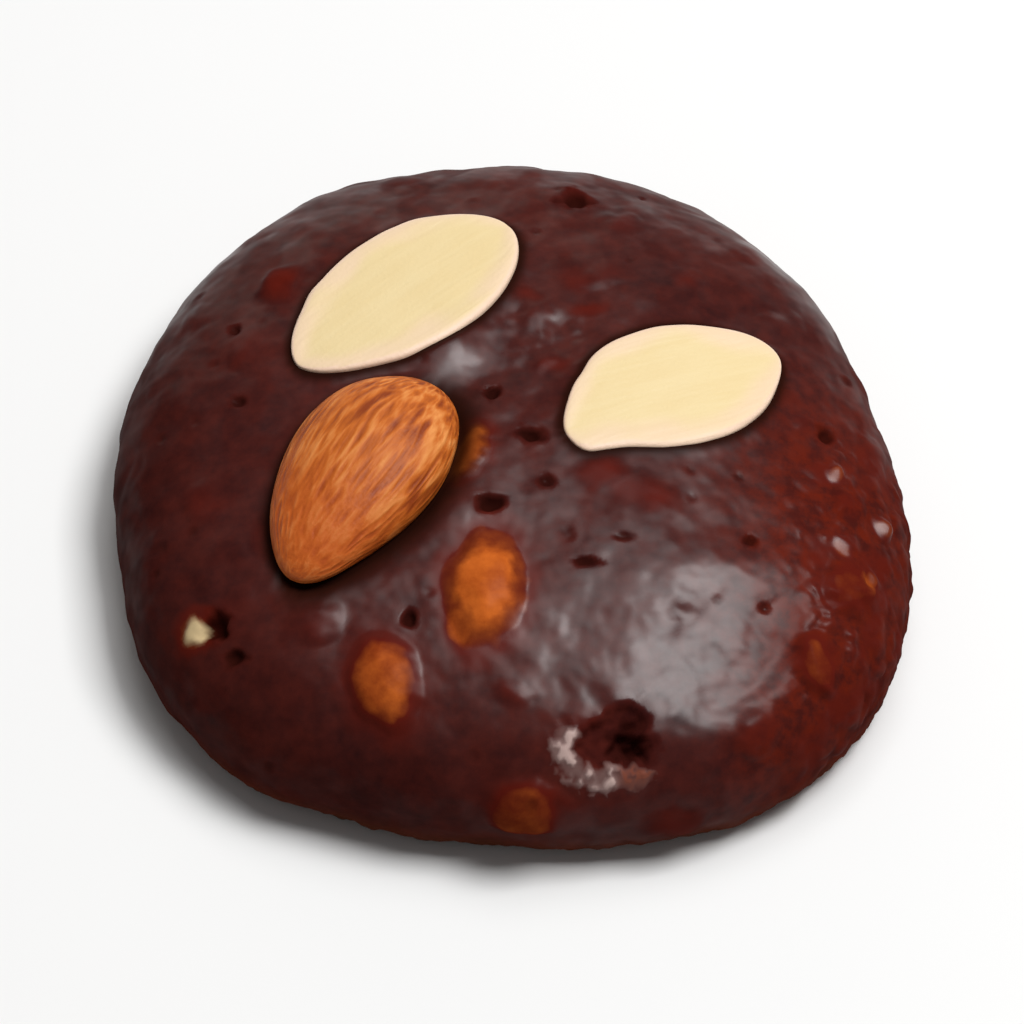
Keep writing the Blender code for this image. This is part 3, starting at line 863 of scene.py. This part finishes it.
def new_group(name, result, **sizes):
    """A group that takes a place and sizes: its tree, its inputs' sockets and its output node."""
    tree = bpy.data.node_groups.new(name, "ShaderNodeTree")
    tree.interface.new_socket("Place", in_out="INPUT", socket_type="NodeSocketVector")
    for size, value in sizes.items():
        socket = size.replace("_", " ")
        made = tree.interface.new_socket(socket, in_out="INPUT", socket_type="NodeSocketFloat")
        made.default_value = value
    tree.interface.new_socket(result, in_out="OUTPUT", socket_type="NodeSocketFloat")
    return tree, tree.nodes.new("NodeGroupInput").outputs, tree.nodes.new("NodeGroupOutput")


# %% Helpers for values
def map_range(tree, value, from_low, from_high, to_low=0.0, to_high=1.0):
    sources = value, from_low, from_high, to_low, to_high
    return node(tree, "ShaderNodeMapRange", *sources, clamp=True).outputs[0]


def math_node(tree, operation, first, second):
    return node(tree, "ShaderNodeMath", first, second, operation=operation).outputs[0]


def times(tree, first, second):
    return math_node(tree, "MULTIPLY", first, second)


def scale_of(tree, size):
    """A texture's scale for features of this size in mm."""
    return math_node(tree, "DIVIDE", 1 / MM, size)


def clouds(tree, place, scale, detail, roughness=0.5):
    made = node(tree, "ShaderNodeTexNoise", noise_dimensions="3D")
    for socket, source in {"Vector": place, "Scale": scale, "Detail": detail, "Roughness": roughness}.items():
        feed(tree, made, socket, source)
    return made.outputs["Fac"]


def with_contrast(tree, value, contrast):
    """Spreads what lies this close to one half over the range from 0 to 1."""
    low, high = (math_node(tree, operation, 0.5, contrast) for operation in ("SUBTRACT", "ADD"))
    return map_range(tree, value, low, high)


# %% Node group: patches
def patches_group():
    """Soft patches of this size in mm, from 0 to 1."""
    tree, given, out = new_group("Patches", "Mask", Size=5.0, Contrast=0.3)
    soft = clouds(tree, given["Place"], scale_of(tree, given["Size"]), 4.0, 0.6)
    feed(tree, out, "Mask", with_contrast(tree, soft, given["Contrast"]))
    return tree


# %% Node group: fine relief
def fine_relief_group():
    """Height of a soft grain of one size with tiny pits of another, both in mm."""
    tree, given, out = new_group("Fine relief", "Height", Grain=0.5, Pits=1.0, Pit_depth=0.5)
    grain = clouds(tree, given["Place"], scale_of(tree, given["Grain"]), 3.0)
    cells = node(tree, "ShaderNodeTexVoronoi", feature="F1")
    feed(tree, cells, "Vector", given["Place"])
    feed(tree, cells, "Scale", scale_of(tree, given["Pits"]))
    filled = map_range(tree, cells.outputs["Distance"], 0.10, 0.32)
    sunk = times(tree, math_node(tree, "SUBTRACT", 1.0, filled), given["Pit depth"])
    feed(tree, out, "Height", math_node(tree, "SUBTRACT", grain, sunk))
    return tree


# %% Node group: streaks along a kernel
def streaks_group():
    """Streaks along X with this spacing and length in mm, from 0 to 1."""
    tree, given, out = new_group("Streaks", "Mask", Spacing=0.5, Length=8.0, Contrast=0.3)
    scales = [scale_of(tree, given[size]) for size in ("Length", "Spacing", "Spacing")]
    factors = given["Place"], node(tree, "ShaderNodeCombineXYZ", *scales).outputs[0]
    scaled = node(tree, "ShaderNodeVectorMath", *factors, operation="MULTIPLY")
    soft = clouds(tree, scaled.outputs[0], 1.0, 3.0)
    feed(tree, out, "Mask", with_contrast(tree, soft, given["Contrast"]))
    return tree


patches, fine_relief, streaks = patches_group(), fine_relief_group(), streaks_group()
print("node groups:", patches.name, fine_relief.name, streaks.name)


# %% Helpers for materials
def new_finish(name, **constants):
    """A material, its tree, its Principled shader, and the place in the piece's own frame."""
    made = bpy.data.materials.new(name)
    made.use_nodes = True
    tree = made.node_tree
    shader = tree.nodes["Principled BSDF"]
    for socket, value in constants.items():
        shader.inputs[socket.replace("_", " ")].default_value = value
    return made, tree, shader, node(tree, "ShaderNodeTexCoord").outputs["Object"]


def use_group(tree, group, place, **values):
    made = node(tree, "ShaderNodeGroup", node_tree=group)
    feed(tree, made, "Place", place)
    for socket, value in values.items():
        feed(tree, made, socket.replace("_", " "), value)
    return made.outputs[0]


def blend_colour(tree, share, first, second):
    made = node(tree, "ShaderNodeMix", data_type="RGBA")
    feed(tree, made, 0, share)
    for index, colour in ((6, first), (7, second)):
        feed(tree, made, index, colour if isinstance(colour, bpy.types.NodeSocket) else (*colour, 1.0))
    return made.outputs[2]


def mean(tree, first, second):
    return math_node(tree, "ADD", times(tree, first, 0.5), times(tree, second, 0.5))


def mark(tree, name):
    return node(tree, "ShaderNodeAttribute", attribute_name=name).outputs["Fac"]


def bump(tree, shader, height, distance):
    made = node(tree, "ShaderNodeBump")
    feed(tree, made, "Strength", 1.0)
    feed(tree, made, "Distance", distance * MM)
    feed(tree, made, "Height", height)
    feed(tree, shader, "Normal", made.outputs["Normal"])


# %% [markdown]
# ## The glaze
#
# The coat is thin, dark and a little glossy. Over plain dough it is almost black-brown with a red cast,
# and it is redder on the flank. Over a nut it thins out: first it turns red, then the nut's orange-brown
# shows with a soft edge. One glossy colour would look like plastic, so the tone drifts in patches, and
# the mesh's marks say where nuts, holes, crumbs and the foot are. Some marks paint light into the colour:
# shade in the holes, round the almonds and low on the front, and a highlight in the pale crumbs of the
# lip. The gloss is a clear coat over a rougher colour, weighted by the gloss mark. The flat underside is
# baked dough without glaze.

# %% Colours of the glaze
GLAZE_DEEP = (0.028, 0.0055, 0.0054)
GLAZE_RED = (0.087, 0.0138, 0.0095)
FLANK_RED = (0.120, 0.0120, 0.0045)
NUT_RED = (0.097, 0.0097, 0.0056)
NUT_BROWN = (0.33, 0.058, 0.0085)
NUT_ORANGE = (0.60, 0.138, 0.020)
# painted shade, for the holes and the low front
PAINTED_SHADE_DARK = (0.012, 0.0025, 0.0015)
# painted shade round the almonds
ALMOND_SHADE_DARK = (0.014, 0.0045, 0.0025)
LIP_GREY = (0.19, 0.115, 0.105)
# pale crumbs of the lip, with a painted highlight in them
LIP_CRUMB_AND_HIGHLIGHT = (0.45, 0.32, 0.29)
LEDGE_TAN = (0.175, 0.053, 0.034)
SPECK_CREAM = (0.56, 0.42, 0.23)
DOUGH_BROWN = (0.16, 0.055, 0.022)
GLAZE_MARKS = (  # mark, how much of the colour it takes over, and with which colour
    # painted shade low on the front
    ("low", 0.30, PAINTED_SHADE_DARK),
    ("foot", 0.35, DOUGH_BROWN),
    # painted shade round the almonds
    ("painted_almond_shade", 0.9, ALMOND_SHADE_DARK),
    # painted shade inside the holes
    ("hole", 0.8, PAINTED_SHADE_DARK),
    ("speck", 1.0, SPECK_CREAM),
)
print(len(GLAZE_MARKS), "marks take over the glaze's colour")


# %% Glaze finish
def nuts_through_glaze(tree, place, close, colour):
    nut = times(tree, mark(tree, "nut"), map_range(tree, close, 0.0, 1.0, 0.88, 1.08))
    nut_tone = use_group(tree, patches, place, Size=3.0, Contrast=0.2)
    colour = blend_colour(tree, map_range(tree, nut, 0.0, 0.22), colour, NUT_RED)
    bright = blend_colour(tree, nut_tone, NUT_BROWN, NUT_ORANGE)
    return blend_colour(tree, map_range(tree, nut, 0.26, 0.85), colour, bright)


def crumbled_lip(tree, colour):
    # the lip's pale crumb colour also carries a painted highlight
    crumb = blend_colour(tree, map_range(tree, mark(tree, "lip"), 0.5, 0.85), LIP_GREY, LIP_CRUMB_AND_HIGHLIGHT)
    crumb = blend_colour(tree, map_range(tree, mark(tree, "ledge"), 0.1, 0.4), crumb, LEDGE_TAN)
    return blend_colour(tree, map_range(tree, mark(tree, "lip"), 0.15, 0.45), colour, crumb)


def glaze_finish():
    made, tree, shader, place = new_finish(
        "Dark glaze", Specular_IOR_Level=0.0, Coat_Roughness=0.30, Coat_IOR=1.38
    )
    wide = use_group(tree, patches, place, Size=9.0, Contrast=0.22)
    close = use_group(tree, patches, place, Size=1.5, Contrast=0.2)
    dull = use_group(tree, patches, place, Size=2.6, Contrast=0.2)
    tone = mean(tree, wide, close)
    colour = blend_colour(tree, tone, GLAZE_DEEP, GLAZE_RED)
    redder = times(tree, mark(tree, "flank"), map_range(tree, close, 0.2, 0.8, 0.15, 1.0))
    colour = blend_colour(tree, redder, colour, FLANK_RED)
    colour = nuts_through_glaze(tree, place, close, colour)
    for name, share, paint in GLAZE_MARKS:
        colour = blend_colour(tree, times(tree, mark(tree, name), share), colour, paint)
    feed(tree, shader, "Base Color", crumbled_lip(tree, colour))
    feed(tree, shader, "Roughness", map_range(tree, tone, 0.0, 1.0, 0.45, 0.62))
    coat = map_range(tree, dull, 0.0, 1.0, 1.0, 0.8)
    feed(tree, shader, "Coat Weight", times(tree, coat, mark(tree, "gloss")))
    bump(tree, shader, use_group(tree, fine_relief, place, Grain=1.2, Pits=1.3, Pit_depth=0.3), 0.03)
    return made


# %% Baked underside
BASE_BAKED = (0.20, 0.075, 0.030)
BASE_PALE = (0.33, 0.15, 0.065)
BASE_SPOTS = (0.10, 0.034, 0.014)


def base_finish():
    made, tree, shader, place = new_finish("Baked underside", Roughness=0.75)
    wide = use_group(tree, patches, place, Size=7.0, Contrast=0.25)
    close = use_group(tree, patches, place, Size=1.2, Contrast=0.25)
    colour = blend_colour(tree, wide, BASE_BAKED, BASE_PALE)
    feed(tree, shader, "Base Color", blend_colour(tree, times(tree, close, 0.5), colour, BASE_SPOTS))
    bump(tree, shader, use_group(tree, fine_relief, place, Grain=1.2, Pits=2.2, Pit_depth=0.9), 0.25)
    return made


cookie.data.materials.append(glaze_finish())
cookie.data.materials.append(base_finish())
base = cookie.data.polygons[-1]
base.material_index, base.use_smooth = 1, False
print("glaze on", len(cookie.data.polygons) - 1, "faces, baked dough on the base")

# %% [markdown]
# ## Almond flesh and brown skin
#
# A cut face is warm ivory with very faint lengthwise lines. Its edge, where the blanched outside starts,
# is paler and a little pink, and the pink runs unevenly into the face. The brown skin is cinnamon with
# lighter dust on its ridges, with a painted highlight there, and painted shade in its furrows, so its
# colour follows the wrinkles of the mesh and finer streaks between them.

# %% Almond flesh
FLESH = (0.80, 0.645, 0.36)
FLESH_WARM = (0.755, 0.58, 0.29)
FLESH_EDGE = (0.84, 0.610, 0.450)


def flesh_finish():
    made, tree, shader, place = new_finish("Blanched almond", IOR=1.45)
    lines = use_group(tree, streaks, place, Spacing=0.6, Length=9.0, Contrast=0.3)
    wide = use_group(tree, patches, place, Size=5.0, Contrast=0.3)
    colour = blend_colour(tree, mean(tree, lines, wide), FLESH, FLESH_WARM)
    feed(tree, shader, "Base Color", blend_colour(tree, mark(tree, "edge"), colour, FLESH_EDGE))
    feed(tree, shader, "Roughness", map_range(tree, wide, 0.0, 1.0, 0.42, 0.58))
    relief = use_group(tree, fine_relief, place, Grain=0.35, Pits=0.8, Pit_depth=0.2)
    bump(tree, shader, math_node(tree, "ADD", relief, lines), 0.03)
    return made


flesh = flesh_finish()
for half in (left_half, right_half):
    half.data.materials.append(flesh)
print("blanched halves finished in", flesh.name)

# %% Brown skin
# darker streaks, and painted shade in the furrows
SKIN_STREAK_AND_FURROW_SHADE = (0.25, 0.042, 0.0062)
SKIN_MAIN = (0.54, 0.130, 0.0150)
# dust on the ridges, with a painted highlight
SKIN_DUST_AND_HIGHLIGHT = (0.90, 0.40, 0.120)
SKIN_TIP = (0.52, 0.095, 0.014)


def brown_skin_finish():
    made, tree, shader, place = new_finish("Brown almond skin", IOR=1.30)
    lines = use_group(tree, streaks, place, Spacing=0.70, Length=4.0, Contrast=0.16)
    wide = use_group(tree, patches, place, Size=4.5, Contrast=0.28)
    # tone follows wrinkle height: painted shade in furrows, painted highlight on ridges
    tone = mean(tree, map_range(tree, mark(tree, "wrinkle"), -0.2, 0.75), lines)
    colour = blend_colour(tree, map_range(tree, tone, 0.12, 0.58), SKIN_STREAK_AND_FURROW_SHADE, SKIN_MAIN)
    dusty = map_range(tree, wide, 0.0, 1.0, 0.25, 0.8)
    colour = blend_colour(tree, times(tree, map_range(tree, tone, 0.55, 1.0), dusty), colour, SKIN_DUST_AND_HIGHLIGHT)
    colour = blend_colour(tree, times(tree, mark(tree, "tip"), 0.6), colour, SKIN_TIP)
    feed(tree, shader, "Base Color", colour)
    feed(tree, shader, "Roughness", map_range(tree, tone, 0.0, 1.0, 0.42, 0.6))
    relief = use_group(tree, fine_relief, place, Grain=0.35, Pits=0.9, Pit_depth=0.1)
    bump(tree, shader, math_node(tree, "ADD", relief, lines), 0.04)
    return made


whole_almond.data.materials.append(brown_skin_finish())
print("brown almond finished")

# %% [markdown]
# ## Floor, light and camera
#
# The cookie lies on a plain pale floor. Most light falls from one soft box high above and a little to the
# right, which leaves the broad sheen there. A larger one overhead fills the sheen between the almonds,
# and a warm dim one behind draws the back edge. The room is kept dim, because a glaze mirrors it: a
# bright one would turn the dark coat grey all over.

# %% Floor
FLOOR_HALF = 3.0
FLOOR_GAP = 0.0002
PALE = (0.86, 0.86, 0.855, 1.0)

corners = [(x * FLOOR_HALF, y * FLOOR_HALF, 0) for x, y in ((-1, -1), (1, -1), (1, 1), (-1, 1))]
floor_mesh = bpy.data.meshes.new("floor")
floor_mesh.from_pydata(corners, [], [(0, 1, 2, 3)])
floor = add_object("floor", floor_mesh)
floor.location.z = -FLOOR_GAP
floor_finish = new_finish("Pale floor", Base_Color=PALE, Roughness=0.9, Specular_IOR_Level=0.1)
floor_mesh.materials.append(floor_finish[0])
print("the floor is", 2 * FLOOR_HALF, "m wide")

# %% Lights
AIM = Vector((0.0, 0.0, 0.009))
ROOM_STRENGTH = 0.14


def soft_box(name, direction, distance, size, power, colour=(1.0, 1.0, 1.0)):
    light = bpy.data.lights.new(name, "AREA")
    light.shape, light.size = "SQUARE", size
    light.energy, light.color = power, colour
    lamp = add_object(name, light)
    lamp.location = AIM + Vector(direction).normalized() * distance
    lamp.rotation_euler = Vector(direction).to_track_quat("Z", "Y").to_euler()
    print(name, "light:", power, "W from", distance, "m")


soft_box("key", (0.40, 0.04, 0.915), distance=0.9, size=0.36, power=6.0)
soft_box("ceiling", (0.18, 0.22, 0.96), distance=1.0, size=0.7, power=4.2)
soft_box("backdrop", (-0.30, 0.93, 0.17), distance=1.3, size=1.0, power=1.9, colour=(1.0, 0.88, 0.78))

world = bpy.data.worlds.new("Studio")
world.use_nodes = True
room = world.node_tree.nodes["Background"].inputs
room["Color"].default_value = (1.0, 1.0, 1.0, 1.0)
room["Strength"].default_value = ROOM_STRENGTH
bpy.context.scene.world = world
bpy.context.scene.view_settings.view_transform = "Standard"

# %% Camera
LOOK_AT = Vector((0.0002, -0.0029, 0.0071))
ELEVATION = 55.0
DISTANCE = 0.56
LENS, SENSOR = 228.0, 36.0

camera_data = bpy.data.cameras.new("camera")
camera_data.lens, camera_data.sensor_width = LENS, SENSOR
camera_data.clip_start = 0.01
camera = add_object("camera", camera_data)
towards = Vector((0, -math.cos(math.radians(ELEVATION)), math.sin(math.radians(ELEVATION))))
camera.location = LOOK_AT + towards * DISTANCE
camera.rotation_euler = towards.to_track_quat("Z", "Y").to_euler()
bpy.context.scene.camera = camera
print("camera", DISTANCE, "m away, looking down", ELEVATION, "degrees")
